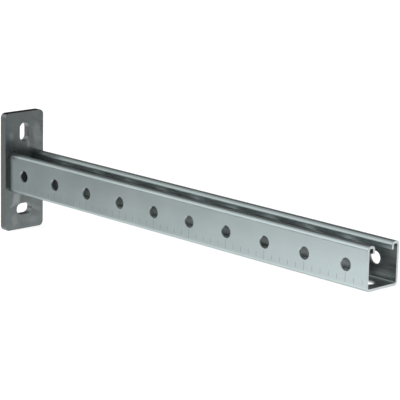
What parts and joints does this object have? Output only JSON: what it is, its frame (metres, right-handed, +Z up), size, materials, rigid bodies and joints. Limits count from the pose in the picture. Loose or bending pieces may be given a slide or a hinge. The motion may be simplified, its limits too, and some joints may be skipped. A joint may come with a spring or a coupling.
{
  "type": "cantilever strut arm",
  "caption": "Wall bracket arm: an open-topped channel with round side holes and web slots, welded square to an upright base plate with two fixing slots.",
  "frame": {"origin": "centre of the base plate's wall face", "axes": "+X along the arm, away from the wall; +Z up, towards the channel's open side; +Y across"},
  "size_m": [0.508, 0.05, 0.125],
  "materials": {
    "plate_zinc": "hot-dip galvanised, mottled",
    "channel_zinc": "smooth satin zinc",
    "weld_zinc": "galvanised weld metal"
  },
  "bodies": {
    "root": {"base_plate": "plate_zinc", "strut_channel": "channel_zinc", "weld_bead": "weld_zinc", "weld_bead_far": "weld_zinc"}
  },
  "joints": []
}
